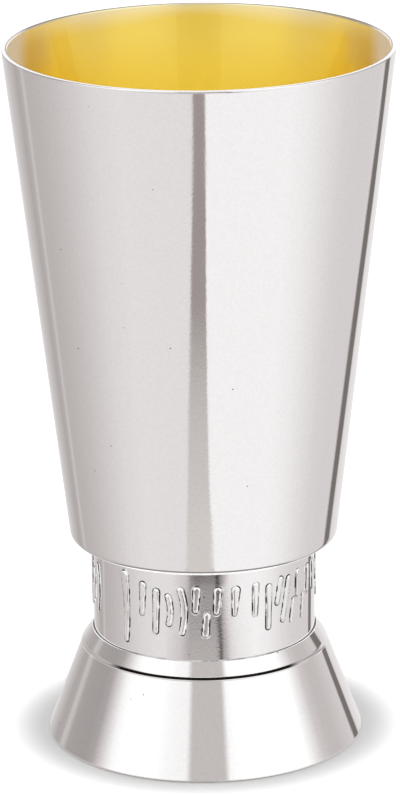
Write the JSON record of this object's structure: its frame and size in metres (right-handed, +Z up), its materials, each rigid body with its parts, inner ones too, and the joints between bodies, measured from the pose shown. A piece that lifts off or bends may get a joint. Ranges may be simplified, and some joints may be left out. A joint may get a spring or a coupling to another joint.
{
  "type": "kiddush cup",
  "caption": "Tall tapering metal beaker with a gilt inside, on a neck band with a row of shallow strokes and a flared, hollow foot.",
  "frame": {"origin": "centre of the circle on which the foot stands, at table level", "axes": "+Z up along the cup's axis, from the foot to the rim; -Y is the front"},
  "size_m": [0.0652, 0.0652, 0.12],
  "materials": {
    "polished_silver": "polished sterling silver, lightly scratched and pitted from use; the inside of the bowl is gilt"
  },
  "bodies": {
    "root": {"bowl": "polished_silver", "inscription_band": "polished_silver", "foot": "polished_silver"}
  },
  "joints": []
}
